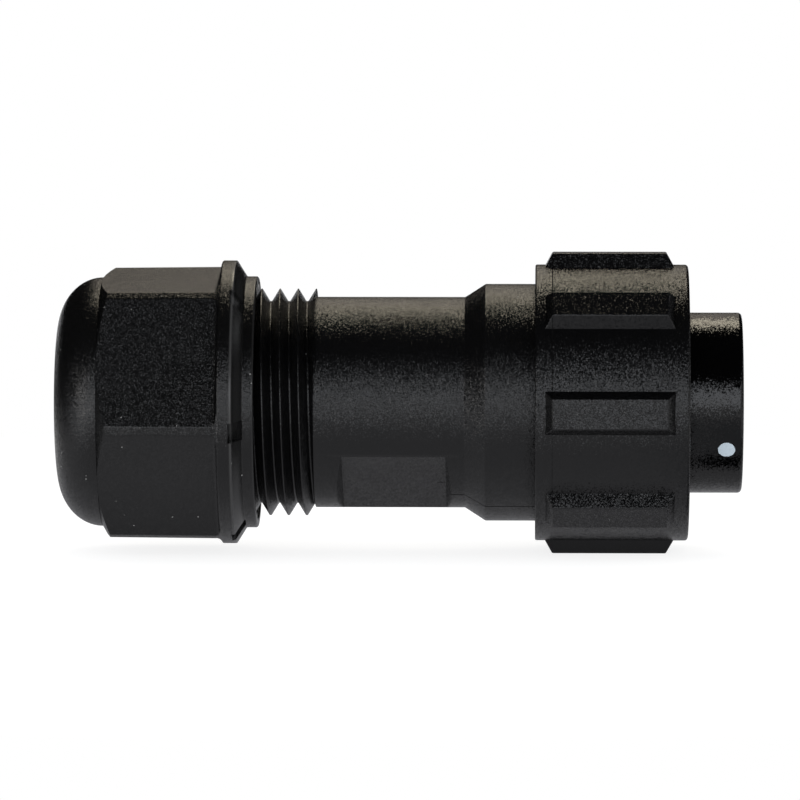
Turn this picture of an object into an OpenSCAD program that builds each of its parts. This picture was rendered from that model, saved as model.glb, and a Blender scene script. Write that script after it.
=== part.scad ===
// Cable plug of a threaded circular connector: a moulded shell with a cable gland at its back,
// a turning coupling ring, and a pin insert whose shroud stands out at the front.
// The axis lies along X with the gland at -X; the plug lies on one grip rib of the coupling ring.
// Clock angles are seen from the -Y side: 0 faces -Y, 90 faces up.

/* [Gland nut] */
// Length of the nut from the dome's face to the end of its skirt
nut_len = 22; // [21.4:0.2:26]
// Wall between the nut's thread and the middle of a hexagon flat
nut_wall = 1.25; // [0.8:0.05:2]
// Length of the dome
dome_len = 4.9; // [4:0.1:6]
// Wall of the skirt in front of the flange
skirt_wall = 1.35; // [1:0.05:2]
// Length of the skirt
skirt_len = 1.25; // [1:0.05:3]
// How far the flange stands out from the skirt
flange_reach = 1.75; // [1.2:0.05:3]
// Thickness of the flange at its rim
flange_t = 1.6; // [1:0.05:2.5]
// Clock angle of one hexagon flat
nut_clock = 22.5; // [0:0.5:60]

/* [Gland] */
// Cable diameter that the seal is bored for
cable_d = 11; // [8:0.5:12]
// Room between the cable and the edge of the nut's opening
cable_room = 1.9; // [1.2:0.1:2.4]
// Travel of the nut from rest until the seal is fully squeezed
gland_travel = 4.5; // [3:0.1:5]
// Wall of the clamping cage
cage_wall = 1.25; // [1:0.05:1.6]
// Number of clamping fingers
finger_count = 12; // [6:2:16]
// Width of the slot between two fingers
finger_slot = 0.9; // [0.5:0.1:1.5]

/* [Shell] */
// Major diameter of the gland thread
thread_d = 25; // [24.6:0.1:27]
// Pitch of the gland thread
thread_pitch = 2; // [1.5:0.25:2.25]
// Length of thread inside the nut at rest
thread_engaged = 7.6; // [6.6:0.1:8]
// Length of thread that shows between the nut and the shell's shoulder
thread_show = 6.4; // [5:0.1:9]
// How far the body lies inside the crest of the thread
body_step = 0.9; // [0.5:0.05:1.1]
// Length of the shell's body
body_len = 16.4; // [15.2:0.2:24]
// Length of the cone between body and barrel
cone_len = 2.25; // [1:0.05:5]
// How far the barrel stands out from the body
barrel_step = 1.45; // [1:0.05:2.5]
// Wall of the barrel round the insert
barrel_wall = 2.45; // [1.8:0.05:2.8]
// Length of barrel that shows behind the coupling ring
barrel_show = 5.45; // [4:0.05:12]
// Depth of a spanner flat
flats_depth = 1.55; // [1:0.05:1.8]
// Length of a spanner flat along its floor
flats_len = 11.3; // [6:0.1:12]
// Clock angle of the lower spanner flat
flats_clock = -56.5; // [-90:0.5:90]

/* [Coupling ring] */
// Length of the ring
ring_len = 16.8; // [14:0.2:22]
// Wall of the ring round its thread
ring_wall = 1.7; // [1.2:0.05:3]
// Pitch of the coupling thread
coupling_pitch = 1.5; // [1:0.25:2]
// Number of grip ribs
rib_count = 8; // [4:4:12]
// Height of a grip rib
rib_h = 1.35; // [0.6:0.05:2]
// Width of a grip rib at its top
rib_w = 3.35; // [2:0.05:5]

/* [Pin insert] */
// Wall of the mating half that fits between the shroud and the ring
mating_wall = 3.575; // [3:0.025:4]
// Length of shroud that shows in front of the coupling ring
nose_show = 5.9; // [3:0.1:10]
// Wall of the shroud
shroud_wall = 1.6; // [1:0.1:2]
// Depth of the shroud
shroud_depth = 9; // [6:0.5:12]
// Clock angle of the main key
key_clock = -28; // [-90:1:90]
// Number of contacts
contact_count = 6; // [3:1:6]
// Diameter of a contact pin
pin_d = 2; // [1.4:0.1:2.4]
// Space between the shoulders of two contacts
contact_space = 0.7; // [0.4:0.05:1.2]
// Length of a wire barrel behind the retainer
wire_barrel_len = 9.4; // [7:0.2:12]

/* [Hidden] */
$fn = 96;
overlap = 0.01;
past = 1;
thread_clear = 0.12;
slide_gap = 0.15;
ring_gap = 0.25;
fit_gap = 0.1;
tight_gap = 0.05;
round_steps = 6;

// Gland thread: its depth and its flats at root and crest as shares of the pitch, and its two ends
depth_share = 0.685;
root_flat = 0.12;
crest_flat = 0.06;
thread_depth = depth_share * thread_pitch;
thread_root_r = thread_d / 2 - thread_depth;
thread_segments = 48;
thread_lead = 0.5;
thread_runout = 0.35;
thread_foot = 0.2;
thread_len = thread_engaged + thread_show;

// Diameters that follow from the gland thread and the walls
nut_flats = thread_d + 2 * nut_wall;
skirt_d = thread_d + 2 * skirt_wall;
flange_d = skirt_d + 2 * flange_reach;
body_d = thread_d - 2 * body_step;
barrel_d = body_d + 2 * barrel_step;
coupling_step = 0.45;
coupling_d = barrel_d + 2 * coupling_step;
ring_d = coupling_d + 2 * ring_wall;
nose_d = coupling_d - 2 * mating_wall;

// Stations along the axis, from the dome's face at rest
thread_end = nut_len + thread_show;
shell_back = nut_len - thread_engaged;
body_end = thread_end + body_len;
cone_end = body_end + cone_len;
ring_back = cone_end + barrel_show;
ring_front = ring_back + ring_len;
nose_front = ring_front + nose_show;
axis_height = ring_d / 2 + rib_h;

// Nut outside
flange_bevel = 1.1;
skirt_back = nut_len - skirt_len;
flange_front = skirt_back - flange_bevel;
flange_back = flange_front - flange_t;
edge_break = 0.25;
hex_sides = 6;
hex_turn = 180 / hex_sides;
hex_r = nut_flats / 2 / cos(hex_turn);
hex_corner_cut = 0.335;
hex_draft = 0.16;
hex_chamfer = 1.1;
chamfer_sink = 0.3;
notch_count = 6;
notch_w = 2.2;
notch_depth = 0.5;
notch_lag = 1.75;
opening_d = cable_d + 2 * cable_room;
opening_round = 0.7;
rim_flat = (hex_r - hex_draft * (1 - dome_len / flange_back)) * cos(hex_turn);
dome_over = 0.07;
dome_r = rim_flat + dome_over;
rim_step = 0.05;
dome_lip_r = opening_d / 2 + opening_round;
dome_steps = 24;

// Gland inside: the shell's bore, the cage in it, the nut's cone round the cage
gland_wall = 1.13;
gland_bore_r = thread_root_r - gland_wall;
cage_r = gland_bore_r - slide_gap;
cage_in_r = cage_r - cage_wall;
cage_clear = 0.3;
collar_reach = 0.45;
collar_t = 1.3;
snap_t = 0.4;
snap_clear = 0.2;
end_gap = 0.65;
chamber_wide_r = cage_r + collar_reach + cage_clear;
nut_thread_back = shell_back - gland_travel - end_gap;
chamber_front = nut_thread_back - snap_t;
chamber_back = chamber_front - slide_gap - collar_t;
lip_depth = 1.86;
cone_slope = (chamber_wide_r - opening_d / 2) / (chamber_back - lip_depth);
tip_room = 1.54;
cage_tip = lip_depth + tip_room;
cage_tip_t = 1.2;
tip_reach = 0.5;
cage_tip_in_r = opening_d / 2 - tip_reach;
cage_throat = cage_tip + cage_tip_t + cage_in_r - cage_tip_in_r;
finger_setback = 1.8;
cage_root = shell_back - finger_setback;
cage_depth = 3.8;
cage_front = shell_back + cage_depth;
cage_key_w = 2;
cage_key_h = 0.5;
cage_key_len = 3.4;

// Seal
seal_r = cage_in_r - fit_gap;
seal_back = cage_throat + slide_gap;
seal_flange_back = cage_front + fit_gap;
seal_flange_t = 1.9;
seal_flange_r = cage_r - tight_gap;
seal_front = seal_flange_back + seal_flange_t;
seal_edge = 0.5;

// Shell bores
stop_gap = 0.2;
gland_stop = seal_front + gland_travel + stop_gap;
collar_len = 1.7;
collar_step = 0.9;
flats_wall = 1.15;
flats_across = body_d - 2 * flats_depth;
flats_setback = 3.05;
flats_slope = 0.62;
chamber_r = flats_across / 2 - flats_wall;
collar_r = chamber_r - collar_step;
seat_depth = 0.25;
insert_seat = cone_end + seat_depth;
insert_bore_r = barrel_d / 2 - barrel_wall;
barrel_cover = 2.3;
barrel_front = ring_back + barrel_cover;

// Ring, from its back
lip_t = 2.8;
lip_back = barrel_front + ring_gap;
lip_front = lip_back + lip_t;
neck_step = 0.6;
neck_r = insert_bore_r + neck_step;
coupling_share = 0.54;
coupling_minor_r = coupling_d / 2 - coupling_share * coupling_pitch;
undercut_len = 2.75;
undercut_r = coupling_d / 2 + fit_gap;
mouth_chamfer = 0.8;
ring_round = 0.35;
rib_side = 0.6;
rib_back_slope = 0.67;
rib_front_slope = 0.95;
rib_back_inset = 1.15;
rib_front_inset = 1.53;
rib_back = ring_back + rib_back_inset;
rib_front = ring_front - rib_front_inset;
rib_sink = 1.2;

// Insert, from its back
insert_back = insert_seat + fit_gap;
spigot_r = insert_bore_r - fit_gap;
flange_seat = lip_front + ring_gap;
insert_flange_gap = 0.39;
insert_flange_r = coupling_minor_r - insert_flange_gap;
insert_flange_t = 1.5;
nose_back = flange_seat + insert_flange_t;
nose_r = nose_d / 2;
nose_round = 0.45;
shroud_r = nose_r - shroud_wall;
shroud_floor = nose_front - shroud_depth;
key_w = 2.4;
key_h = 1;
key_setback = 1.5;
side_key_w = 1.2;
side_key_angle = 115;
o_ring_section = 1.2;
groove_w = 2;
groove_setback = 2.7;
groove_back = insert_back + groove_setback;
groove_r = insert_bore_r - o_ring_section - 2 * tight_gap;
gasket_t = 1.2;
gasket_groove = 0.25;
gasket_r = nose_r - gasket_groove;
gasket_front = nose_back + gasket_t;

// Contacts and what holds them: a block behind a lip in the shroud's floor, and a retainer behind it
retainer_wall = 0.6;
retainer_r = groove_r - retainer_wall;
retainer_t = 2.3;
retainer_back = insert_back + fit_gap;
retainer_front = retainer_back + retainer_t;
block_step = 0.5;
block_r = retainer_r - block_step;
block_lip_t = 1.2;
block_boss_r = shroud_r - key_h - fit_gap;
block_back = retainer_front + tight_gap;
block_shoulder = shroud_floor - block_lip_t;
screw_d = 1.6;
screw_head_d = 2.8;
screw_head_t = 0.9;
screw_slot_w = 0.4;
screw_reach = 0.7;
screw_room = 1;
// The screw heads clear the shell's chamber and the shoulders clear each other, which sets the wire barrels
shoulder_step = 0.45;
shoulder_t = 1.5;
contact_reach = chamber_r - screw_room - screw_head_t;
contact_chord = sin(180 / contact_count);
wire_barrel_d = (2 * contact_chord * contact_reach - 2 * shoulder_step - contact_space) / (1 + contact_chord);
shoulder_d = wire_barrel_d + 2 * shoulder_step;
contact_circle = 2 * contact_reach - wire_barrel_d;
pin_setback = 1.4;
pin_front = nose_front - pin_setback;
wire_back = retainer_back - wire_barrel_len;
wire_wall = 0.8;
wire_bore_len = 7;
screw_setback = 4;
screw_station = wire_back + screw_setback;

nut_colour = "#2a2a2c";
shell_colour = "#262628";
ring_colour = "#28282b";
insert_colour = "#141416";
rubber_colour = "#1a1a1a";
cage_colour = "#3a3a3c";
contact_colour = "#d2b15c";
screw_colour = "#b9bcc0";

// Lays the axis, modelled along Z from the dome's face, into the plug's own frame
module on_axis() {
    translate([-nose_front / 2, 0, axis_height]) rotate([0, 90, 0]) children();
}

// Turns what points along X, around the axis, to a clock angle
module facing(clock) {
    rotate([0, 0, 270 - clock]) children();
}

// Solid of revolution from an outline of [radius, station] points
module turned(points) {
    rotate_extrude() polygon(points);
}

// Round rod or bore between two stations
module rod(r, from, to) {
    translate([0, 0, from]) cylinder(r = r, h = to - from);
}

// Points of an elliptical arc around a centre, in [radius, station]
function arc(centre, size, from, to, steps) =
    [for (i = [0:steps]) let (a = from + (to - from) * i / steps)
        centre + [size[0] * cos(a), size[1] * sin(a)]];

// Radius of the gland thread at a place counted in pitches
function thread_radius(place) =
    let (rise = (1 - root_flat - crest_flat) / 2,
         from_crest = abs(place - floor(place) - 0.5),
         share = (0.5 - root_flat / 2 - from_crest) / rise)
    thread_root_r + thread_depth * min(1, max(0, share));

// Right-hand threaded rod, one column of points for each step round the axis.
// It starts with a lead-in, ends in a short run-out, and its tail reaches into the body in front.
module threaded_rod() {
    n = thread_segments;
    rise = (1 - root_flat - crest_flat) / 2;
    corners = [root_flat / 2, root_flat / 2 + rise, 1 - root_flat / 2 - rise, 1 - root_flat / 2];
    foot_r = body_d / 2 - thread_foot;
    foot_end = thread_len + tight_gap;
    tail_end = thread_len + thread_lead;
    turns = ceil(thread_len / thread_pitch) + 1;
    last = 4 * (turns + 1);
    function radius(i, z) = thread_radius(z / thread_pitch - i / n);
    function within(z) = min(thread_len - thread_runout, max(thread_lead, z));
    function column(i) = concat(
        [[min(radius(i, 0), foot_r), 0]],
        [for (k = [-1:turns - 1]) for (c = corners)
            let (z = within(thread_pitch * (k + i / n + c))) [radius(i, z), z]],
        [[min(radius(i, thread_len), foot_r), foot_end], [thread_root_r, tail_end]]);
    rows = last + 3;
    ring = [for (i = [0:n - 1]) for (p = column(i))
        [p[0] * cos(360 * i / n), p[0] * sin(360 * i / n), p[1]]];
    points = concat(ring, [[0, 0, 0], [0, 0, tail_end]]);
    start = n * rows;
    // After the last column comes the first again, with its thread one turn further on
    function further(j) = (j == 0 || j > last) ? j : min(j + 4, last);
    function at(i, j) = i < n ? i * rows + j : further(j);
    sides = [for (i = [0:n - 1]) for (j = [0:rows - 2])
        each [[at(i, j), at(i, j + 1), at(i + 1, j)],
              [at(i + 1, j), at(i, j + 1), at(i + 1, j + 1)]]];
    caps = [for (i = [0:n - 1])
        each [[start, at(i, 0), at(i + 1, 0)],
              [start + 1, at(i + 1, rows - 1), at(i, rows - 1)]]];
    faces = [for (f = concat(sides, caps))
        if (points[f[0]] != points[f[1]] && points[f[1]] != points[f[2]] && points[f[0]] != points[f[2]]) f];
    translate([0, 0, shell_back]) polyhedron(points, faces);
}

// Wedge-shaped ratchet notch across the flange's bevel
module flange_notch() {
    run = norm([flange_reach, flange_bevel]);
    translate([(flange_d + skirt_d) / 4, 0, (flange_front + skirt_back) / 2])
        rotate([0, atan2(flange_bevel, flange_reach), 0]) rotate([0, 0, 90])
            translate([0, run / 2, 0]) rotate([90, 0, 0]) linear_extrude(height = run)
                polygon([[-notch_w / 2, past], [-notch_w / 2, 0],
                         [notch_w / 2, -notch_depth], [notch_w / 2, past]]);
}

module nut_outside() {
    corner_r = hex_r - hex_corner_cut;
    chamfer_r = dome_r - rim_step;
    chamfer_back = dome_len - chamfer_sink;
    chamfer_root = chamfer_r - chamfer_sink * (corner_r - chamfer_r) / hex_chamfer;
    hex_end = flange_back + overlap;
    turned(concat(
        [[0, 0]],
        arc([dome_lip_r, dome_len], [dome_r - dome_lip_r, dome_len], -90, 0, dome_steps),
        [[0, dome_len]]));
    intersection() {
        turned([[0, chamfer_back], [chamfer_root, chamfer_back], [corner_r, dome_len + hex_chamfer],
                [corner_r, hex_end], [0, hex_end]]);
        facing(nut_clock + hex_turn)
            cylinder(r1 = hex_r - hex_draft, r2 = hex_r, h = hex_end, $fn = hex_sides);
    }
    turned([[0, flange_back], [flange_d / 2 - edge_break, flange_back],
            [flange_d / 2, flange_back + edge_break], [flange_d / 2, flange_front],
            [skirt_d / 2, skirt_back], [skirt_d / 2, nut_len - edge_break],
            [skirt_d / 2 - edge_break, nut_len], [0, nut_len]]);
}

module nut_inside() {
    bore_r = thread_d / 2 + thread_clear;
    turned(concat(
        [[0, -past], [dome_lip_r, -past]],
        arc([dome_lip_r, opening_round], [opening_round, opening_round], 270, 180, round_steps),
        [[opening_d / 2, lip_depth], [chamber_wide_r, chamber_back], [chamber_wide_r, chamber_front],
         [cage_r + snap_clear, chamber_front], [cage_r + snap_clear, nut_thread_back],
         [bore_r, nut_thread_back], [bore_r, nut_len - edge_break], [bore_r + edge_break, nut_len],
         [bore_r + edge_break, nut_len + past], [0, nut_len + past]]));
}

module gland_nut() {
    color(nut_colour) difference() {
        nut_outside();
        nut_inside();
        for (i = [0:notch_count - 1])
            facing(nut_clock + hex_turn - notch_lag + 360 / notch_count * i) flange_notch();
    }
}

// The two keys that stop the cage from turning, or the room for them
module cage_keys(width, reach, from, to) {
    root = cage_r - cage_wall / 2;
    for (side = [0, 180])
        facing(side) translate([root, -width / 2, from]) cube([reach - root, width, to - from]);
}

module clamping_cage() {
    tip_r = opening_d / 2 + (cage_tip - lip_depth) * cone_slope - cage_clear;
    collar_r = cage_r + collar_reach;
    collar_front = chamber_back + collar_t;
    color(cage_colour) difference() {
        union() {
            turned([[cage_tip_in_r, cage_tip], [tip_r, cage_tip],
                    [collar_r, chamber_back], [collar_r, collar_front],
                    [cage_r, collar_front], [cage_r, cage_front], [cage_in_r, cage_front],
                    [cage_in_r, cage_throat], [cage_tip_in_r, cage_tip + cage_tip_t]]);
            cage_keys(cage_key_w, cage_r + cage_key_h, cage_front - cage_key_len, cage_front);
        }
        for (i = [0:finger_count / 2 - 1])
            rotate([0, 0, 360 / finger_count * i])
                translate([-nut_flats / 2, -finger_slot / 2, 0]) cube([nut_flats, finger_slot, cage_root]);
    }
}

module cable_seal() {
    color(rubber_colour)
        turned([[cable_d / 2, seal_back + seal_edge], [cable_d / 2 + seal_edge, seal_back],
                [seal_r, seal_back], [seal_r, seal_flange_back], [seal_flange_r, seal_flange_back],
                [seal_flange_r, seal_front], [cable_d / 2 + seal_edge, seal_front],
                [cable_d / 2, seal_front - seal_edge]]);
}

// What a spanner flat takes off the body, with its two ends sloping outwards
module spanner_flat() {
    back = thread_end + flats_setback;
    front = back + flats_len;
    floor_r = flats_across / 2;
    past_r = floor_r + 2 * flats_depth;
    spread = 2 * flats_slope;
    translate([0, body_d / 2, 0]) rotate([90, 0, 0]) linear_extrude(height = body_d)
        polygon([[floor_r, back], [past_r, back - spread], [past_r, front + spread], [floor_r, front]]);
}

module rear_shell() {
    key_room = cage_key_w + 2 * slide_gap;
    key_reach = cage_r + cage_key_h + slide_gap;
    color(shell_colour) difference() {
        union() {
            threaded_rod();
            turned([[0, thread_end], [body_d / 2, thread_end], [body_d / 2, body_end],
                    [barrel_d / 2, cone_end], [barrel_d / 2, barrel_front], [0, barrel_front]]);
        }
        turned([[0, shell_back - past], [gland_bore_r, shell_back - past], [gland_bore_r, gland_stop],
                [collar_r, gland_stop], [collar_r, gland_stop + collar_len],
                [chamber_r, gland_stop + collar_len], [chamber_r, insert_seat],
                [insert_bore_r, insert_seat], [insert_bore_r, barrel_front + past], [0, barrel_front + past]]);
        cage_keys(key_room, key_reach, shell_back - past, gland_stop);
        for (side = [0, 180]) facing(flats_clock + side) spanner_flat();
    }
}

// Grip rib with sloping sides and ends, standing along X on the ring
module grip_rib() {
    base_r = ring_d / 2 - rib_sink;
    top_r = ring_d / 2 + rib_h;
    sunk = rib_sink / rib_h;
    half_base = rib_w / 2 + rib_side * (1 + sunk);
    intersection() {
        translate([0, 0, ring_back]) linear_extrude(height = ring_len)
            polygon([[base_r, -half_base], [top_r, -rib_w / 2], [top_r, rib_w / 2], [base_r, half_base]]);
        translate([0, ring_d / 2, 0]) rotate([90, 0, 0]) linear_extrude(height = ring_d)
            polygon([[base_r, rib_back - rib_back_slope * sunk], [top_r, rib_back + rib_back_slope],
                     [top_r, rib_front - rib_front_slope], [base_r, rib_front + rib_front_slope * sunk]]);
    }
}

module coupling_ring() {
    outer = ring_d / 2;
    round_centre = [outer - ring_round, ring_front - ring_round];
    color(ring_colour) difference() {
        union() {
            turned(concat(
                [[0, ring_back], [outer - edge_break, ring_back], [outer, ring_back + edge_break]],
                arc(round_centre, [ring_round, ring_round], 0, 90, round_steps),
                [[0, ring_front]]));
            for (i = [0:rib_count - 1]) facing(360 / rib_count * i) grip_rib();
        }
        turned([[0, ring_back - past], [barrel_d / 2 + ring_gap, ring_back - past],
                [barrel_d / 2 + ring_gap, lip_back], [neck_r + ring_gap, lip_back],
                [neck_r + ring_gap, lip_front], [undercut_r, lip_front],
                [undercut_r, lip_front + undercut_len], [coupling_minor_r, lip_front + undercut_len],
                [coupling_minor_r, ring_front - mouth_chamfer],
                [coupling_minor_r + mouth_chamfer, ring_front],
                [coupling_minor_r + mouth_chamfer, ring_front + past], [0, ring_front + past]]);
    }
}

// A key along the inside of the shroud
module shroud_key(width, clock) {
    facing(clock) translate([shroud_r - key_h, -width / 2, shroud_floor - overlap])
        cube([key_h + shroud_wall / 2, width, shroud_depth - key_setback + overlap]);
}

// Stands what is drawn round the axis at the place of one contact, X pointing outwards
module at_contact(i) {
    facing(key_clock + 360 / contact_count * (i - 0.5)) translate([contact_circle / 2, 0, 0]) children();
}

module at_contacts() {
    for (i = [1:contact_count]) at_contact(i) children();
}

// Sleeve with the shroud in front, the flange that the coupling ring pulls on, and the spigot in the shell
module plug_insert() {
    color(insert_colour) union() {
        turned(concat(
            [[retainer_r + tight_gap, insert_back], [spigot_r, insert_back], [spigot_r, groove_back],
             [groove_r, groove_back], [groove_r, groove_back + groove_w], [spigot_r, groove_back + groove_w],
             [spigot_r, barrel_front], [neck_r, barrel_front], [neck_r, flange_seat],
             [insert_flange_r, flange_seat], [insert_flange_r, nose_back], [gasket_r, nose_back],
             [gasket_r, gasket_front + fit_gap], [nose_r, gasket_front + fit_gap]],
            arc([nose_r - nose_round, nose_front - nose_round], [nose_round, nose_round], 0, 90, round_steps),
            [[shroud_r, nose_front], [shroud_r, shroud_floor], [block_boss_r + tight_gap, shroud_floor],
             [block_boss_r + tight_gap, block_shoulder], [block_r + tight_gap, block_shoulder],
             [block_r + tight_gap, block_back], [retainer_r + tight_gap, block_back]]));
        shroud_key(key_w, key_clock);
        for (side = [-1, 1]) shroud_key(side_key_w, key_clock + side * side_key_angle);
    }
}

// Block that carries the pins, with a recess behind each for the pin's shoulder
module contact_block() {
    color(insert_colour) difference() {
        turned([[0, block_back], [block_r, block_back], [block_r, block_shoulder - tight_gap],
                [block_boss_r, block_shoulder - tight_gap], [block_boss_r, shroud_floor], [0, shroud_floor]]);
        at_contacts() {
            rod(pin_d / 2 + tight_gap, block_back, shroud_floor + past);
            rod(shoulder_d / 2 + tight_gap, block_back - past, retainer_front + shoulder_t + fit_gap);
        }
    }
}

module insert_o_ring() {
    color(rubber_colour) translate([0, 0, groove_back + groove_w / 2])
        rotate_extrude() translate([groove_r + tight_gap + o_ring_section / 2, 0]) circle(d = o_ring_section);
}

module face_gasket() {
    color(rubber_colour)
        turned([[gasket_r + tight_gap, nose_back], [insert_flange_r - fit_gap, nose_back],
                [insert_flange_r - fit_gap, gasket_front], [gasket_r + tight_gap, gasket_front]]);
}

module contact_retainer() {
    color(insert_colour) difference() {
        rod(retainer_r, retainer_back, retainer_front);
        at_contacts() rod(wire_barrel_d / 2 + tight_gap, retainer_back - past, retainer_front + past);
    }
}

// Turned contact: pin, shoulder behind the insert's web, and a wire barrel with a screw hole in its side
module contact(i) {
    tip = pin_d / 4;
    barrel_r = wire_barrel_d / 2;
    shoulder_back = retainer_front + tight_gap;
    shoulder_front = retainer_front + shoulder_t;
    color(contact_colour) at_contact(i) difference() {
        turned(concat(
            [[0, wire_back], [barrel_r, wire_back], [barrel_r, shoulder_back],
             [shoulder_d / 2, shoulder_back], [shoulder_d / 2, shoulder_front], [pin_d / 2, shoulder_front]],
            arc([pin_d / 2 - tip, pin_front - tip], [tip, tip], 0, 90, round_steps),
            [[0, pin_front]]));
        rod(barrel_r - wire_wall, wire_back - past, wire_back + wire_bore_len);
        translate([0, 0, screw_station]) rotate([0, 90, 0]) rod(screw_d / 2 + tight_gap, 0, barrel_r + past);
    }
}

// Slotted clamp screw that stands in the side of a wire barrel
module terminal_screw(i) {
    seat = wire_barrel_d / 2;
    color(screw_colour) at_contact(i) translate([0, 0, screw_station]) rotate([0, 90, 0]) difference() {
        union() {
            rod(screw_d / 2, screw_reach, seat + overlap);
            rod(screw_head_d / 2, seat, seat + screw_head_t);
        }
        translate([-screw_head_d, -screw_slot_w / 2, seat + screw_head_t / 2])
            cube([2 * screw_head_d, screw_slot_w, screw_head_t]);
    }
}

on_axis() {
    gland_nut();
    clamping_cage();
    cable_seal();
    rear_shell();
    coupling_ring();
    plug_insert();
    contact_block();
    contact_retainer();
    insert_o_ring();
    face_gasket();
    for (i = [1:contact_count]) {
        contact(i);
        terminal_screw(i);
    }
}
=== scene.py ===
# %% [markdown]
# # A circular cable plug
# The real plug is moulded in black plastic. A domed hexagon nut clamps the cable at one end, a shell
# with a coarse thread carries that nut, and a ribbed ring at the other end screws onto a socket.
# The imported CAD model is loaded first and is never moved. It says where every piece sits, so what is
# modelled below only adds the roundings, threads and finishes that the solids leave out.

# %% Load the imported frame
import math

import bpy
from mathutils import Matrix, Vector


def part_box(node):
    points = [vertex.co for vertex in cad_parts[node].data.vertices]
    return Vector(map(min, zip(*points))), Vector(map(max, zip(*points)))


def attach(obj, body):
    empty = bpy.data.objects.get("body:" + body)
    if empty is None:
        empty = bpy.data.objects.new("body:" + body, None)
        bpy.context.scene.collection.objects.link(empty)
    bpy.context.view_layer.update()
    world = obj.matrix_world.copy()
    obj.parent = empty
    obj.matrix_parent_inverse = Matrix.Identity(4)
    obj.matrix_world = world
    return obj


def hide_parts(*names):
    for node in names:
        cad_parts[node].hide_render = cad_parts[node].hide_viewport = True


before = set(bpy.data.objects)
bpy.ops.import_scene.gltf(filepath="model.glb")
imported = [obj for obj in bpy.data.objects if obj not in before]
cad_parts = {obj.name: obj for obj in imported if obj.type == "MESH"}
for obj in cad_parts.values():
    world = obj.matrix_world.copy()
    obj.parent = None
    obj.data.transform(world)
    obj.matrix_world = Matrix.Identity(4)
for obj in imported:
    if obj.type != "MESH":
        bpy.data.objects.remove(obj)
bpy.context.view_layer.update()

# %% [markdown]
# ## The bench
# Blender's bevel and merge tools work badly on edges of a tenth of a millimetre when a unit is a metre.
# So each piece is modelled on a bench where one unit is one millimetre, the plug's axis is the X axis,
# and the dome's face is at zero. When a piece is finished it is scaled, laid into the frame, and its
# transform applied, which leaves its object at the origin as a CAD node's is.

# %% The bench's scale and its place in the frame
MM = 0.001
nut_low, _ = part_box("gland_nut")
ring_low, ring_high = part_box("coupling_ring")
AXIS_HEIGHT = (ring_low.z + ring_high.z) / 2
BENCH_ZERO = Vector((nut_low.x, 0, AXIS_HEIGHT))


def extent(node):
    """Back station, front station and greatest radius of a CAD node, in bench millimetres."""
    low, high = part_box(node)
    return (low.x - BENCH_ZERO.x) / MM, (high.x - BENCH_ZERO.x) / MM, (high.z - low.z) / 2 / MM


def pick(*pieces):
    """Leaves only these pieces selected, with the last one active."""
    bpy.ops.object.select_all(action="DESELECT")
    for piece in pieces:
        piece.select_set(True)
        bpy.context.view_layer.objects.active = piece


def named(name):
    """Names the piece that an operator has just added."""
    piece = bpy.context.object
    piece.name = piece.data.name = name
    return piece


def put_down():
    """Leaves edit mode."""
    bpy.ops.object.mode_set(mode="OBJECT")


def apply_transform():
    """Writes the selected piece's move, turn and scale into its mesh."""
    bpy.ops.object.transform_apply(location=True, rotation=True, scale=True)


print("axis", round(AXIS_HEIGHT / MM, 3), "mm high, plug", round(extent("plug_insert")[1], 3), "mm long")

# %% [markdown]
# Most of the plug is turned work, so the main tool is a lathe. A plane is merged to one point, the point
# is extruded along an outline of stations and radii, and the outline is spun once round the axis.
# A moulding has no knife-sharp corners, so every corner of an outline may carry its own small rounding,
# worked out before the spin. That gives cleaner faces than a bevel on the spun mesh would.

# %% The lathe
TURN_STEPS = 160
WELD = 0.001
EASE_STEPS = 4


def eased(corners):
    """Rounds those corners of a closed outline that are (station, radius, rounding)."""
    outline = []
    for i, (station, radius, *ease) in enumerate(corners):
        here = Vector((station, radius))
        if not ease:
            outline.append(here)
            continue
        rounding = ease[0]
        back = (Vector(corners[i - 1][:2]) - here).normalized()
        onward = (Vector(corners[(i + 1) % len(corners)][:2]) - here).normalized()
        half = back.angle(onward) / 2
        centre = here + (back + onward).normalized() * rounding / math.sin(half)
        start = here + back * rounding / math.tan(half) - centre
        end = here + onward * rounding / math.tan(half) - centre
        for step in range(EASE_STEPS + 1):
            share = step / EASE_STEPS
            outline.append(centre + (start * (1 - share) + end * share).normalized() * rounding)
    return outline


def select_all():
    """Selects the whole mesh in edit mode."""
    bpy.ops.mesh.select_all(action="SELECT")


def extrude(move):
    """Extrudes what is selected in edit mode."""
    bpy.ops.mesh.extrude_region_move(TRANSFORM_OT_translate={"value": move})


def draw_outline(name, outline):
    """Draws a chain of edges through points of (station, radius), and stays in edit mode."""
    pick()
    bpy.ops.mesh.primitive_plane_add(size=1)
    piece = named(name)
    bpy.ops.object.mode_set(mode="EDIT")
    bpy.ops.mesh.select_mode(type="VERT")
    select_all()
    bpy.ops.mesh.merge(type="CENTER")
    bpy.ops.transform.translate(value=(outline[0][0], 0, outline[0][1]))
    for here, there in zip(outline, outline[1:]):
        extrude((there[0] - here[0], 0, there[1] - here[1]))
    return piece


def weld():
    """Merges doubled points of the mesh in edit mode and turns its faces outwards."""
    select_all()
    bpy.ops.mesh.remove_doubles(threshold=WELD)
    bpy.ops.mesh.delete_loose(use_verts=True, use_edges=True, use_faces=False)
    select_all()
    bpy.ops.mesh.normals_make_consistent(inside=False)


def lathe(name, outline, steps=TURN_STEPS):
    """Turns a closed outline of (station, radius) points into a solid round the axis."""
    piece = draw_outline(name, [*outline, outline[0]])
    select_all()
    bpy.ops.mesh.spin(steps=steps, angle=math.tau, center=(0, 0, 0), axis=(1, 0, 0))
    weld()
    put_down()
    return piece


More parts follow.
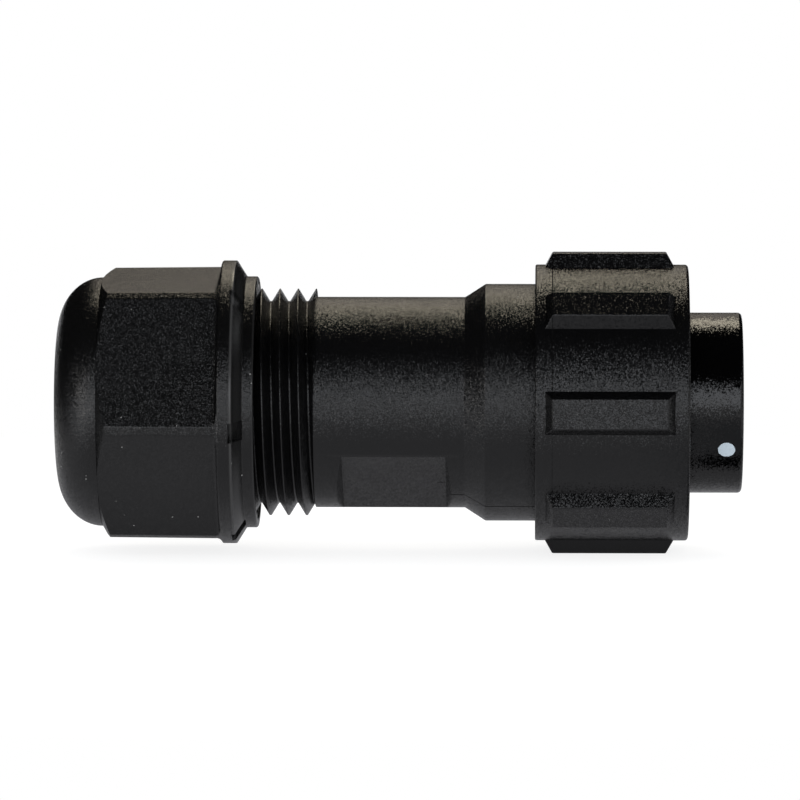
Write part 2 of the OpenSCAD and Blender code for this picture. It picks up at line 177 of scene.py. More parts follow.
# %% [markdown]
# What isn't round starts as a block. Its faces, edges or points are chosen by their place and direction,
# as one would click them by hand, and then moved, scaled or bevelled in edit mode.

# %% Blocks and choosing parts of a mesh
FACING = 0.9  # a direction faces an axis when its share along that axis is larger


def block(name, low, high):
    """Adds a block between two corners."""
    low, high = Vector(low), Vector(high)
    pick()
    bpy.ops.mesh.primitive_cube_add(size=1, scale=high - low, location=(low + high) / 2)
    apply_transform()
    return named(name)


def choose(piece, kind, wanted=lambda place, direction: True):
    """Selects, in edit mode, the points, edges or faces whose place and direction pass a test."""
    if piece.mode == "OBJECT":
        pick(piece)
        bpy.ops.object.mode_set(mode="EDIT")
    bpy.ops.mesh.select_mode(type=kind)
    bpy.ops.mesh.select_all(action="DESELECT")
    bpy.ops.object.mode_set(mode="OBJECT")
    points = piece.data.vertices
    if kind == "FACE":
        for face in piece.data.polygons:
            face.select = wanted(face.center, face.normal)
    elif kind == "EDGE":
        for edge in piece.data.edges:
            a, b = (points[i].co for i in edge.vertices)
            edge.select = wanted((a + b) / 2, (b - a).normalized())
    else:
        for point in points:
            point.select = wanted(point.co, point.normal)
    bpy.ops.object.mode_set(mode="EDIT")


# %% [markdown]
# Solids are joined and cut with the exact Boolean modifier, which copes with faces that lie close to
# each other. A finished piece gets smooth shading up to a limiting angle, and normals weighted by face
# area, so that a large flat stays flat right up to the small rounding at its edge.

# %% Joining, turning and finishing
SMOOTH_ANGLE = math.radians(32)


def modify(piece, title, kind, **settings):
    """Gives a piece a modifier with these settings and applies it."""
    pick(piece)
    step = piece.modifiers.new(title, kind)
    for key, value in settings.items():
        setattr(step, key, value)
    bpy.ops.object.modifier_apply(modifier=step.name)


def combine(piece, other, operation):
    """Joins, cuts or trims a piece with another solid, which is used up."""
    modify(piece, operation.title(), "BOOLEAN", operation=operation, solver="EXACT", object=other)
    bpy.data.objects.remove(other)


def turn_to(piece, clock):
    """Turns a piece drawn on top of the axis to a clock angle: 0 faces -Y, 90 is on top."""
    pick(piece)
    piece.rotation_euler = (math.radians(90 - clock), 0, 0)
    apply_transform()


def copy_at(piece, clock):
    """A copy of a piece with its own mesh, turned to a clock angle."""
    pick(piece)
    bpy.ops.object.duplicate()
    copy = bpy.context.object
    turn_to(copy, clock)
    return copy


def evenly(count, first=0):
    """Clock angles spread evenly round the axis."""
    return [first + 360 / count * i for i in range(count)]


def copies_round(piece, clocks):
    """One mesh with a copy of the piece at each clock angle."""
    rest = [copy_at(piece, clock) for clock in clocks[1:]]
    turn_to(piece, clocks[0])
    pick(*rest, piece)
    bpy.ops.object.join()
    return piece


def settle(piece, body):
    """Lays a finished piece into the frame in metres, shades it, and lets it ride on a body."""
    pick(piece)
    piece.scale = (MM, MM, MM)
    piece.location = BENCH_ZERO
    apply_transform()
    bpy.ops.object.shade_smooth_by_angle(angle=SMOOTH_ANGLE)
    modify(piece, "Weighted", "WEIGHTED_NORMAL", keep_sharp=True)
    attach(piece, body)
    piece.data.calc_loop_triangles()
    print(piece.name, len(piece.data.loop_triangles), "triangles on", body)


# %% [markdown]
# ## The gland nut
# The nut is a hexagon between a round dome and a round flange. By hand one would turn a blank and mill
# the flats. Here a six-sided cone gives the flats, a first bevel cuts the narrow band along each corner
# and a second one breaks the band's edges. The front face is extruded in small growing steps, which makes
# the fillet at the flange. A turned envelope cuts the chamfer, so each flat stays a single clean face.

# %% The hexagon
_, nut_front, flange_r = extent("gland_nut")
hex_sides = 6
hex_flats = 27.5
hex_draft = 0.16
hex_clock = 22.5
hex_turn = 180 / hex_sides
hex_r = hex_flats / 2 / math.cos(math.radians(hex_turn))
corner_band = 0.56
corner_ease = 0.09
dome_len = 4.9
dome_r = 13.72
chamfer_r = 13.67
chamfer_len = 1.1
chamfer_sink = 0.3
flange_back = 18.05
fillet_r, fillet_trim = 0.5, 0.05
fillet_start = flange_back - fillet_r
FILLET_ANGLES = (25, 50, 75, 90)
ENVELOPE_STEPS = 147  # other than TURN_STEPS, so that no facets of envelope and flange coincide

pick()
bpy.ops.mesh.primitive_cone_add(
    vertices=hex_sides, radius1=hex_r - hex_draft, radius2=hex_r, depth=fillet_start,
    location=(fillet_start / 2, 0, 0), rotation=(0, math.radians(90), 0))
apply_transform()
nut = named("nut_body")
turn_to(nut, 90 + hex_clock - hex_turn)
for width, segments in ((corner_band, 1), (corner_ease, 2)):
    choose(nut, "EDGE", lambda place, along: abs(along.x) > FACING)
    bpy.ops.mesh.bevel(offset=width, segments=segments, affect="EDGES")

choose(nut, "FACE", lambda place, normal: normal.x > FACING)
station, reach = fillet_start, hex_flats / 2
for angle in FILLET_ANGLES:
    bend = math.radians(angle)
    onward = fillet_start + fillet_r * math.sin(bend)
    outward = hex_flats / 2 + fillet_r * (1 - math.cos(bend))
    extrude((onward - station, 0, 0))
    bpy.ops.transform.resize(value=(1, outward / reach, outward / reach), center_override=(onward, 0, 0))
    station, reach = onward, outward
extrude((fillet_r, 0, 0))
put_down()

corner_r = hex_r - corner_band / 2
chamfer_slope = (corner_r - chamfer_r) / chamfer_len
chamfer_end = dome_len + (hex_r - chamfer_r) / chamfer_slope
envelope = lathe("envelope", [
    (dome_len - chamfer_sink, 0), (dome_len - chamfer_sink, chamfer_r - chamfer_sink * chamfer_slope),
    (chamfer_end, hex_r), (fillet_start, hex_r), (fillet_start, flange_r - fillet_trim),
    (flange_back + fillet_r, flange_r - fillet_trim), (flange_back + fillet_r, 0)], steps=ENVELOPE_STEPS)
combine(nut, envelope, "INTERSECT")
print("hexagon", hex_flats, "mm across flats, corners", round(2 * corner_r, 2), "mm")

# %% [markdown]
# The dome at the cable end is a quarter of an ellipse on a lathe. An ellipse needs only two sizes, its
# length and its rise, and it meets the hexagon without a crease, as the moulding does.

# %% The dome
lip_r = 8.1
DOME_STEPS = 28
dome_outline = [(0, 0)]
for step in range(DOME_STEPS + 1):
    angle = math.radians(90) * step / DOME_STEPS
    dome_outline.append((dome_len * (1 - math.cos(angle)), lip_r + (dome_r - lip_r) * math.sin(angle)))
combine(nut, lathe("dome", [*dome_outline, (dome_len, 0)]), "UNION")
print("dome", dome_len, "mm long, rim radius", dome_r)

# %% [markdown]
# The flange carries six small ratchet notches on its front bevel, which a spanner clicks over. Each is a
# wedge: a block a little longer than the bevel, with one lower edge pulled down, laid on the slope so that
# it also bites into the flange's corner, and copied round the axis as a cutter.

# %% Flange, skirt and notches
flange_front = 19.65
skirt_back = 20.75
skirt_r = 13.85
notch_count = 6
notch_w = 2.2
notch_depth, notch_start = 0.9, 0.38
notch_behind, notch_ahead = 0.17, 0.04
notch_over = 1
notch_lag = 0.8
flange = lathe("flange", eased([
    (flange_back, 0), (flange_back, flange_r, 0.22), (flange_front, flange_r, 0.15),
    (skirt_back, skirt_r, 0.2), (nut_front, skirt_r, 0.22), (nut_front, 0)]))
combine(nut, flange, "UNION")

slope = Vector((skirt_back - flange_front, flange_r - skirt_r))
notch = block("notch", (-slope.length / 2 - notch_behind, -notch_w / 2, -notch_start),
              (slope.length / 2 + notch_ahead, notch_w / 2, notch_over))
choose(notch, "VERT", lambda place, normal: place.z < 0 and place.y < 0)
bpy.ops.transform.translate(value=(0, 0, notch_start - notch_depth))
put_down()
notch.rotation_euler = (0, math.atan2(slope.y, slope.x), 0)
notch.location = ((flange_front + skirt_back) / 2, 0, (flange_r + skirt_r) / 2)
pick(notch)
apply_transform()
notches = copies_round(notch, evenly(notch_count, hex_clock + hex_turn - notch_lag))
combine(nut, notches, "DIFFERENCE")
print("flange radius", round(flange_r, 2), "mm with", notch_count, "notches")

# %% [markdown]
# ## Threads
# A screw thread is one tooth swept along a helix. The Screw modifier does that: it turns a short outline
# of one pitch round the axis, moves it on by the pitch at each turn, and merges the rows. Cut off square
# by two bisecting planes and filled, it is a solid rod that can be joined to a body or used as a tap.

# %% A threaded rod
THREAD_STEPS = 96
SPARE_TURNS = 2
CREST_FLAT, ROOT_FLAT, ROOT_EASE = 0.03, 0.06, 0.03


def tooth_outline(root_r, crest_r):
    """One pitch from crest to crest, in shares of the pitch, with a small round in the root."""
    falling = [(0, crest_r), (CREST_FLAT, crest_r),
               (0.5 - ROOT_FLAT, root_r + ROOT_EASE), (0.5 - ROOT_FLAT / 2, root_r)]
    return falling + [(1 - share, radius) for share, radius in reversed(falling)]


def threaded_rod(name, tooth, pitch, crest_at, start, end):
    """Solid right-hand thread from start to end, its crest on top of the axis at a given station."""
    turns_before = math.ceil((crest_at - start) / pitch) + SPARE_TURNS
    origin = crest_at - pitch * turns_before
    rod = draw_outline(name, [(origin + share * pitch, radius) for share, radius in tooth])
    put_down()
    modify(rod, "Helix", "SCREW", axis="X", angle=math.tau, screw_offset=pitch,
           iterations=math.ceil((end - origin) / pitch) + SPARE_TURNS, steps=THREAD_STEPS,
           render_steps=THREAD_STEPS, use_merge_vertices=True, merge_threshold=WELD)
    bpy.ops.object.mode_set(mode="EDIT")
    weld()
    for station, side in ((start, -1), (end, 1)):
        select_all()
        bpy.ops.mesh.bisect(plane_co=(station, 0, 0), plane_no=(side, 0, 0),
                            use_fill=True, clear_outer=True, threshold=WELD / 10)
    weld()
    put_down()
    return rod


# %% [markdown]
# The nut's hollow is turned too: the rounded cable opening, the cone that presses the cage, and the bore.
# Its female thread is tapped with a rod a little larger than the shell's own thread, in step with it.

# %% The nut's inside
thread_pitch = 2
thread_crest_r = 12.5
thread_root_r = 11.13
shell_back, barrel_front, barrel_r = extent("rear_shell")
past = 1  # how far a cutter reaches beyond what it cuts
opening_r, opening_end = 7.4, 1.86
chamber_r, chamber_back, chamber_front = 10.6, 7.4, 8.85
snap_r = 10.05
nut_thread_back = 9.25
tap_clear, tap_sink, tap_setback = 0.12, 0.05, 0.15
mouth_r = thread_crest_r + 0.37
mouth_back, lead_in_back = nut_front - 0.2, nut_front - 1.6
tapped_r, tap_crest_r = thread_root_r + tap_clear, thread_crest_r + tap_clear
# The rounded lip starts a little inside the dome's own lip, so that no edges of the two coincide.
lip_round = [
    (-past, lip_r - 0.05 + past), (0.03, lip_r - 0.08), (0.09, opening_r + 0.35),
    (0.3, opening_r + 0.1), (lip_r - opening_r, opening_r)]
hollow = lathe("hollow", eased([
    (-past, 0), *lip_round, (opening_end, opening_r, 0.1),
    (chamber_back, chamber_r), (chamber_front, chamber_r),
    (chamber_front, snap_r, 0.1), (nut_thread_back, snap_r, 0.1), (nut_thread_back, tapped_r),
    (lead_in_back, tapped_r), (mouth_back, tap_crest_r), (mouth_back, mouth_r),
    (nut_front + past, mouth_r + past), (nut_front + past, 0)]))
combine(nut, hollow, "DIFFERENCE")
tap_teeth = tooth_outline(tapped_r - tap_sink, tap_crest_r)
tap_back = nut_thread_back + tap_setback
tap = threaded_rod("tap", tap_teeth, thread_pitch, shell_back, tap_back, nut_front + past)
combine(nut, tap, "DIFFERENCE")
settle(nut, "gland")
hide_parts("gland_nut")

# %% [markdown]
# ## The shell
# The shell is one moulding: the gland thread, a plain body with two spanner flats, a cone and a barrel.
# The thread takes most care, because its crests show along the outline of the plug. It is a threaded rod,
# and the turned body is joined to it.

# %% Threaded end, body and barrel
thread_end = 28.4
body_r = 11.6
body_end = 44.8
shell_cone_end = 47.05
runout_back, runout_sink = thread_end - 0.2, 0.1
shell_teeth = tooth_outline(thread_root_r, thread_crest_r)
shell = threaded_rod("shell_body", shell_teeth, thread_pitch, shell_back, shell_back, thread_end)
body = lathe("body", eased([
    (runout_back, 0), (runout_back, thread_root_r - runout_sink), (thread_end, body_r),
    (body_end, body_r, 0.2), (shell_cone_end, barrel_r, 0.25), (barrel_front, barrel_r, 0.2),
    (barrel_front, 0)]))
combine(shell, body, "UNION")
print("shell thread", 2 * thread_crest_r, "x", thread_pitch, "mm, body radius", body_r)

# %% [markdown]
# Two flats let a spanner hold the shell while the nut is tightened. A milling cutter would leave square
# ends, but a mould needs a slope to let the piece go, so the cutter is a block whose top is stretched.

# %% The spanner flats
flats_across = 20.1
flats_clock = -56.5
flat_back, flat_front = 31.45, 42.75
flat_slope = 0.62
flat_depth = body_r - flats_across / 2
flat_middle = (flat_back + flat_front) / 2
flat = block("flat", (flat_back, -body_r, flats_across / 2), (flat_front, body_r, body_r + flat_depth))
choose(flat, "FACE", lambda place, normal: normal.z > FACING)
# Both ends slope, and the block is twice as high as the flat is deep, so the slope counts four times.
stretch = 1 + 4 * flat_slope / (flat_front - flat_back)
bpy.ops.transform.resize(value=(stretch, 1, 1), center_override=(flat_middle, 0, 0))
put_down()
flats = copies_round(flat, evenly(2, flats_clock))
combine(shell, flats, "DIFFERENCE")
print("flats", flats_across, "mm across at clock", flats_clock)

# %% [markdown]
# Where the two halves of the shell's mould meet, a hair-fine line runs along it. It follows the outline of
# the shell, so the cutter is a thin blade: the outline is drawn a little deeper than the surface, closed
# above it, filled, and extruded to the width of the line. A groove in the mesh stays sharp in any light.

# %% The parting line
seam_back = 41.8
seam_w, seam_depth = 0.12, 0.2
seam_path = [
    (seam_back, flats_across / 2), (flat_front, flats_across / 2), (flat_front + flat_slope, body_r),
    (body_end, body_r), (shell_cone_end, barrel_r), (barrel_front + past, barrel_r)]
blade_outline = [(station, radius - seam_depth) for station, radius in seam_path]
blade_outline += [(barrel_front + past, barrel_r + past), (seam_back, barrel_r + past), blade_outline[0]]
blade = draw_outline("blade", blade_outline)
select_all()
bpy.ops.mesh.remove_doubles(threshold=WELD)
bpy.ops.mesh.edge_face_add()
extrude((0, seam_w, 0))
weld()
put_down()
blades = copies_round(blade, evenly(2, flats_clock))
combine(shell, blades, "DIFFERENCE")
print("parting line", seam_w, "mm wide along", len(seam_path), "stations")

# %% [markdown]
# The shell's hollow takes the cage at the back, the wires in the middle and the insert in front. It is
# turned as one solid, as the steel core of the mould would be, and taken out in a single cut.

# %% The shell's core
gland_bore_r = 10
collar_back, collar_front, collar_r = 24.9, 26.6, 8
wire_chamber_r = 8.9
insert_seat, insert_bore_r, bore_lead = 47.3, 10.6, 0.3
core = lathe("core", [
    (shell_back - past, 0), (shell_back - past, gland_bore_r), (collar_back, gland_bore_r),
    (collar_back, collar_r), (collar_front, collar_r), (collar_front, wire_chamber_r),
    (insert_seat, wire_chamber_r), (insert_seat, insert_bore_r), (barrel_front - bore_lead, insert_bore_r),
    (barrel_front + past, insert_bore_r + past), (barrel_front + past, 0)])
combine(shell, core, "DIFFERENCE")
settle(shell, "shell")
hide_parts("rear_shell")

# %% [markdown]
# ## The coupling ring
# The ring turns freely on the barrel. It is a turned sleeve with eight grip ribs, and a thread inside
# its mouth. Its inner lip hooks behind the insert's flange, which is what pulls the plug into the socket.
# The sleeve is hollow all through, so its outline runs round the wall and not down to the axis.

# %% The sleeve
ring_back, ring_front, rib_top_r = extent("coupling_ring")
ring_r = 15.2
minor_r, major_r = 12.69, 13.5
mouth = 0.8
sleeve_bore_r = 13.3
hook_back, hook_front, hook_r = 55.05, 57.85, 11.45
recess_r, thread_back = 13.6, 60.6
ring = lathe("ring_body", eased([
    (ring_back, sleeve_bore_r, 0.2), (ring_back, ring_r, 0.2), (ring_front, ring_r, 0.35),
    (ring_front, minor_r + mouth, 0.1), (ring_front - mouth, minor_r), (thread_back, minor_r),
    (thread_back, recess_r), (hook_front, recess_r), (hook_front, hook_r),
    (hook_back, hook_r), (hook_back, sleeve_bore_r)]))
print("sleeve", round(ring_front - ring_back, 2), "mm long, radius", ring_r)

# %% [markdown]
# The ribs give the fingers a hold. A rib is a block whose top is drawn in towards its middle, with its
# upper edges bevelled. The sleeve curves away under it, so the block starts well inside the wall.
# One rib is modelled, copied to every eighth of a turn, and joined to the sleeve.

# %% The grip ribs
rib_count = 8
rib_sink = 1.2
rib_margin_back, rib_margin_front = 1.18, 1.66
rib_back, rib_front = ring_back + rib_margin_back, ring_front - rib_margin_front
rib_back_slope, rib_front_slope, rib_side = 0.72, 0.74, 0.6
rib_top_w = 3.35
rib_ease = 0.13
rib_h = rib_top_r - ring_r
sunk = rib_sink / rib_h
base_z = ring_r - rib_sink
base_back, base_front = rib_back - rib_back_slope * sunk, rib_front + rib_front_slope * sunk
base_w = rib_top_w + 2 * rib_side * (1 + sunk)
top_back, top_front = rib_back + rib_back_slope, rib_front - rib_front_slope
base_middle, top_middle = (base_back + base_front) / 2, (top_back + top_front) / 2
rib = block("rib", (base_back, -base_w / 2, base_z), (base_front, base_w / 2, rib_top_r))
choose(rib, "FACE", lambda place, normal: normal.z > FACING)
shrink = ((top_front - top_back) / (base_front - base_back), rib_top_w / base_w, 1)
bpy.ops.transform.resize(value=shrink, center_override=(base_middle, 0, 0))
bpy.ops.transform.translate(value=(top_middle - base_middle, 0, 0))
choose(rib, "EDGE", lambda place, along: place.z > base_z + WELD)
bpy.ops.mesh.bevel(offset=rib_ease, segments=3, affect="EDGES")
put_down()
ribs = copies_round(rib, evenly(rib_count))
combine(ring, ribs, "UNION")
print(rib_count, "ribs", round(rib_h, 2), "mm high")

# %% [markdown]
# The ring's mouth carries the thread that screws onto the socket. It is tapped as the nut's is, with a rod
# that starts in the recess behind the thread, so that the tap runs out into free space as a real one would.

# %% The ring's thread
coupling_pitch = 1.5
ring_tap_sink = 0.15
ring_teeth = tooth_outline(minor_r - ring_tap_sink, major_r)
ring_tap = threaded_rod("ring_tap", ring_teeth, coupling_pitch, ring_back,
                        thread_back - past, ring_front + past)
combine(ring, ring_tap, "DIFFERENCE")
settle(ring, "coupling")
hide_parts("coupling_ring")

# %% [markdown]
# ## The plug insert
# The insert is a glossier moulding: a sleeve with a flange that the ring pulls on, and a shroud round the
# pins. The grooves and seats of its seals lie close together, so its whole outline is turned at once.

# %% Sleeve and shroud
insert_back, nose_front, insert_flange_r = extent("plug_insert")
nose_r, shroud_r, shroud_floor = 9.925, 8.325, 66.2
spigot_r, groove_r, groove_back, groove_w = 10.5, 9.3, 50.1, 2
groove_front = groove_back + groove_w
neck_r, flange_seat, nose_back, gasket_front = 11.2, 58.1, 59.6, 60.9
gasket_seat_r = 9.675
retainer_bore_r, block_bore_r, boss_bore_r = 8.75, 8.25, 7.275
block_back, block_shoulder = 49.85, 65
insert = lathe("insert_body", eased([
    (insert_back, retainer_bore_r), (insert_back, spigot_r, 0.3), (groove_back, spigot_r, 0.1),
    (groove_back, groove_r), (groove_front, groove_r), (groove_front, spigot_r, 0.1),
    (barrel_front, spigot_r), (barrel_front, neck_r, 0.1), (flange_seat, neck_r),
    (flange_seat, insert_flange_r, 0.2), (nose_back, insert_flange_r, 0.2), (nose_back, gasket_seat_r),
    (gasket_front, gasket_seat_r), (gasket_front, nose_r, 0.1), (nose_front, nose_r, 0.45),
    (nose_front, shroud_r, 0.3), (shroud_floor, shroud_r, 0.2), (shroud_floor, boss_bore_r, 0.1),
    (block_shoulder, boss_bore_r), (block_shoulder, block_bore_r), (block_back, block_bore_r),
    (block_back, retainer_bore_r)]))
print("insert", round(nose_front - insert_back, 2), "mm long")

# %% [markdown]
# Three keys inside the shroud let the plug enter its socket one way only. Each is a block sunk into the
# wall and the floor. Only the edges of its inner face are bevelled, because the rest is buried.

# %% The keys in the shroud
key_clock, side_key_turn = -28, 115
main_key_w, side_key_w = 2.4, 1.2
key_h, key_root, key_sink = 1, 0.8, 0.4
key_setback = 1.5
key_ease = 0.15
keys = ((key_clock, main_key_w), (key_clock - side_key_turn, side_key_w),
        (key_clock + side_key_turn, side_key_w))
for clock, width in keys:
    key = block("key", (shroud_floor - key_sink, -width / 2, shroud_r - key_h),
                (nose_front - key_setback, width / 2, shroud_r + key_root))
    choose(key, "EDGE", lambda place, along: place.z < shroud_r - key_h + WELD and place.x > shroud_floor)
    bpy.ops.mesh.bevel(offset=key_ease, segments=3, affect="EDGES")
    put_down()
    turn_to(key, clock)
    combine(insert, key, "UNION")
print("shroud", 2 * nose_r, "mm across with", len(keys), "keys")

# %% [markdown]
# A small spot of pale paint on the shroud marks the main key, so that a hand can find it. It is a disc,
# inset once so that it can bend, pushed a little out of round, and shrink-wrapped onto the shroud.

# %% The key mark
mark_station, mark_clock = 73.35, -26.6
mark_r, mark_t = 0.92, 0.02
mark_stretch = (1.03, 1.04, 1)
mark_inset, mark_wobble = mark_r / 3, mark_r / 22
MARK_POINTS, MARK_SEED = 24, 3
pick()
bpy.ops.mesh.primitive_circle_add(vertices=MARK_POINTS, radius=mark_r, fill_type="NGON",
                                  location=(mark_station, 0, nose_r + mark_r))
apply_transform()
mark = named("key_mark")
choose(mark, "FACE")
bpy.ops.transform.resize(value=mark_stretch, center_override=(mark_station, 0, 0))
bpy.ops.mesh.inset(thickness=mark_inset)
choose(mark, "VERT")
bpy.ops.transform.vertex_random(offset=mark_wobble, seed=MARK_SEED)
put_down()
turn_to(mark, mark_clock)
modify(mark, "Wrap", "SHRINKWRAP", target=insert, offset=0)
modify(mark, "Coat", "SOLIDIFY", thickness=mark_t, offset=1)
settle(mark, "shell")
settle(insert, "shell")
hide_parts("plug_insert")

# %% [markdown]
# ## Contacts
# The pins stand in a moulded block, which is turned first. Each hole has a recess for the pin's shoulder
# and a flared mouth, so its cutter is turned too: on the axis, as everything on a lathe is, then moved out
# to the contact circle and copied to its places.

# %% The contact block
contact_count = 6
contact_circle_r = 5.2
contact_clocks = evenly(contact_count, key_clock + 180 / contact_count)
block_r, boss_r = 8.2, 7.225
pin_r, shoulder_r = 1, 2.25
recess_front = 51.4
play = 0.05
pin_hole_r, shoulder_hole_r, hole_mouth = pin_r + play, shoulder_r + play, 0.2
PIN_STEPS, DRILL_STEPS = 48, 32


def move_out(piece):
    """Moves a piece that was turned on the axis up to the contact circle."""
    choose(piece, "VERT")
    bpy.ops.transform.translate(value=(0, 0, contact_circle_r))
    put_down()


carrier = lathe("carrier_block", eased([
    (block_back, 0), (block_back, block_r, 0.15), (block_shoulder - play, block_r, 0.1),
    (block_shoulder - play, boss_r), (shroud_floor, boss_r, 0.15), (shroud_floor, 0)]))
hole = lathe("hole", [
    (block_back - past, 0), (block_back - past, shoulder_hole_r), (recess_front, shoulder_hole_r),
    (recess_front, pin_hole_r), (shroud_floor - hole_mouth, pin_hole_r),
    (shroud_floor + past, pin_hole_r + hole_mouth + past), (shroud_floor + past, 0)], steps=PIN_STEPS)
move_out(hole)
combine(carrier, copies_round(hole, contact_clocks), "DIFFERENCE")
settle(carrier, "shell")
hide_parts("contact_block")

# %% [markdown]
# A pin is turned from brass: a slim pin with a round tip, a shoulder, and a wire barrel with a bore.
# A drill cuts the clamp screw's hole. Each copy has its own mesh, as each replaces its own CAD node.

# %% The pins
wire_back, pin_front = 38.1, 73.8
wire_barrel_r, wire_bore_r, wire_bore_len = 1.8, 1, 7
shoulder_back, shoulder_front = 49.85, 51.3
screw_station, screw_hole_r, drill_len = 42.1, 0.85, 3
pin = lathe("pin", eased([
    (wire_back, wire_bore_r, 0.1), (wire_back, wire_barrel_r, 0.15), (shoulder_back, wire_barrel_r),
    (shoulder_back, shoulder_r, 0.1), (shoulder_front, shoulder_r, 0.1), (shoulder_front, pin_r),
    (pin_front, pin_r, 0.8), (pin_front, 0), (wire_back + wire_bore_len, 0),
    (wire_back + wire_bore_len, wire_bore_r)]), steps=PIN_STEPS)
drill = lathe("drill", [(0, 0), (0, screw_hole_r), (drill_len, screw_hole_r), (drill_len, 0)],
              steps=DRILL_STEPS)
pick(drill)
drill.rotation_euler = (0, math.radians(-90), 0)
drill.location = (screw_station, 0, 0)
apply_transform()
combine(pin, drill, "DIFFERENCE")
move_out(pin)
pins = []
for i, clock in enumerate(contact_clocks, start=1):
    pins.append(copy_at(pin, clock))
    pins[-1].name = pins[-1].data.name = f"pin_{i}"
    settle(pins[-1], "shell")
    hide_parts(f"contact_{i}")
bpy.data.objects.remove(pin)

# %% [markdown]
# ## Camera
# The photograph is taken from well back, a few degrees above the axis, with the lens slightly towards the
# mating end. The picture's width at the plug follows from its length in the photograph.

# %% The photograph's camera
EYE_DISTANCE = 0.703
EYE_SIDE = 0.016
EYE_RISE = math.radians(4.5)
PICTURE_WIDTH = 0.0882
PICTURE_LIFT = 0.00023
SENSOR = 36
aim = Vector((0, 0, AXIS_HEIGHT + PICTURE_LIFT))
eye = aim + Vector((EYE_SIDE, -EYE_DISTANCE * math.cos(EYE_RISE), EYE_DISTANCE * math.sin(EYE_RISE)))
bpy.ops.object.camera_add(location=eye, rotation=(aim - eye).to_track_quat("-Z", "Y").to_euler())
camera = named("camera")
camera.data.sensor_width = SENSOR
camera.data.lens = SENSOR * EYE_DISTANCE / PICTURE_WIDTH
bpy.context.scene.camera = camera
print("lens", round(camera.data.lens), "mm")

# %% [markdown]
# ## Light
# Black plastic is lit by what it mirrors. A warm softbox above and behind draws the bright band along the
# top, a dim one below it lights the hexagon's upper flat, a long cool one in front fills the middle, one
# at the front left gives the dome its gloss, and weak ones light what faces the right and the rear.
# A lamp's power follows from its size, so that every softbox can be set by how bright its face is.

# %% Softboxes
bpy.context.scene.view_settings.view_transform = "Standard"
SOFTBOXES = {
    "top_softbox": ((0.0, 0.369, 0.498), (0.24, 0.20), 4.3, (1.0, 0.91, 0.72)),
    "back_softbox": ((0.0, 0.534, 0.315), (0.24, 0.34), 0.44, (1.0, 0.91, 0.80)),
    "front_softbox": ((0.05, -0.85, 0.182), (1.10, 0.32), 2.8, (0.92, 0.95, 1.0)),
    "left_softbox": ((-0.42, -0.46, 0.03), (0.28, 0.20), 7.0, (1.0, 0.97, 0.95)),
    "right_softbox": ((0.75, 0.30, 0.10), (0.50, 0.40), 0.45, (0.95, 0.97, 1.0)),
    "side_softbox": ((0.72, -0.42, 0.20), (0.40, 0.30), 1.2, (0.97, 0.98, 1.0)),
    "rear_softbox": ((0.0, 0.85, 0.03), (1.00, 0.05), 0.8, (0.97, 0.98, 1.0)),
}
for name, (at, size, brightness, tint) in SOFTBOXES.items():
    turn = (aim - Vector(at)).to_track_quat("-Z", "Y").to_euler()
    bpy.ops.object.light_add(type="AREA", location=at, rotation=turn)
    softbox = named(name)
    softbox.data.shape = "RECTANGLE"
    softbox.data.size, softbox.data.size_y = size
    softbox.data.energy = brightness * math.pi * size[0] * size[1]
    softbox.data.color = tint
    softbox.visible_camera = False
    print(name, round(softbox.data.energy, 2), "W")

# %% [markdown]
# Materials and the world are built from nodes. Small helpers add a node, set it, and plug numbers or other
# nodes' outputs into its sockets, so that each tree below reads as a list of what feeds what.

# %% Adding nodes
def plug(tree, node, plugs):
    """Fills a node's inputs with values or links. Another node stands for its first output."""
    for socket, value in plugs.items():
        if isinstance(value, bpy.types.Node):
            value = value.outputs[0]
        if isinstance(value, bpy.types.NodeSocket):
            tree.links.new(value, node.inputs[socket])
        else:
            node.inputs[socket].default_value = value


def add(tree, kind, plugs, **settings):
    """Adds a shader node, sets it and fills its inputs."""
    made = tree.nodes.new("ShaderNode" + kind)
    for key, value in settings.items():
        setattr(made, key, value)
    plug(tree, made, plugs)
    return made


def calc(tree, operation, *values):
    """One step of arithmetic on numbers or other nodes' outputs."""
    return add(tree, "Math", dict(enumerate(values)), operation=operation)


def bare_tree(owner):
    """The node tree of a material or a world, emptied."""
    owner.use_nodes = True
    owner.node_tree.nodes.clear()
    return owner.node_tree


def shows_background(tree):
    """1 for rays that show the white background: the camera's, mirrored ones and those through glass."""
    rays = add(tree, "LightPath", {}).outputs
    mirrored = calc(tree, "MAXIMUM", rays["Is Camera Ray"], rays["Is Glossy Ray"])
    return calc(tree, "MAXIMUM", mirrored, rays["Is Transmission Ray"])


# %% [markdown]
# The world stands for the room. Its background is pure white where it is seen, and a little dimmer and
# cooler where it only lights things. The Light Path node tells the two kinds of rays apart.

# %% The world
ROOM, ROOM_TINT = 0.9, (0.97, 0.98, 1, 1)
world = bpy.data.worlds.new("studio")
bpy.context.scene.world = world
tree = bare_tree(world)
white = add(tree, "Background", {"Color": (1, 1, 1, 1), "Strength": 1})
room = add(tree, "Background", {"Color": ROOM_TINT, "Strength": ROOM})
sky = add(tree, "MixShader", {0: shows_background(tree), 1: room, 2: white})
add(tree, "OutputWorld", {"Surface": sky})
print("room light", ROOM)

# %% [markdown]
# The floor is white paper. Close to the plug the paper takes the plug's soft shadow, and further out it
# fades to plain white, so that the picture has no horizon. In the gloss of the plug's underside the paper
# shows as an even grey that darkens below the plug, where the real paper lies in its shade.

# %% The floor
FLOOR_SIZE = 12
SHADOW_NEAR, SHADOW_FAR = 0.05, 0.16
PAPER, PAPER_SHADE, PAPER_GLOW = (0.8, 0.8, 0.8, 1), (0.3, 0.3, 0.3, 1), 0.82
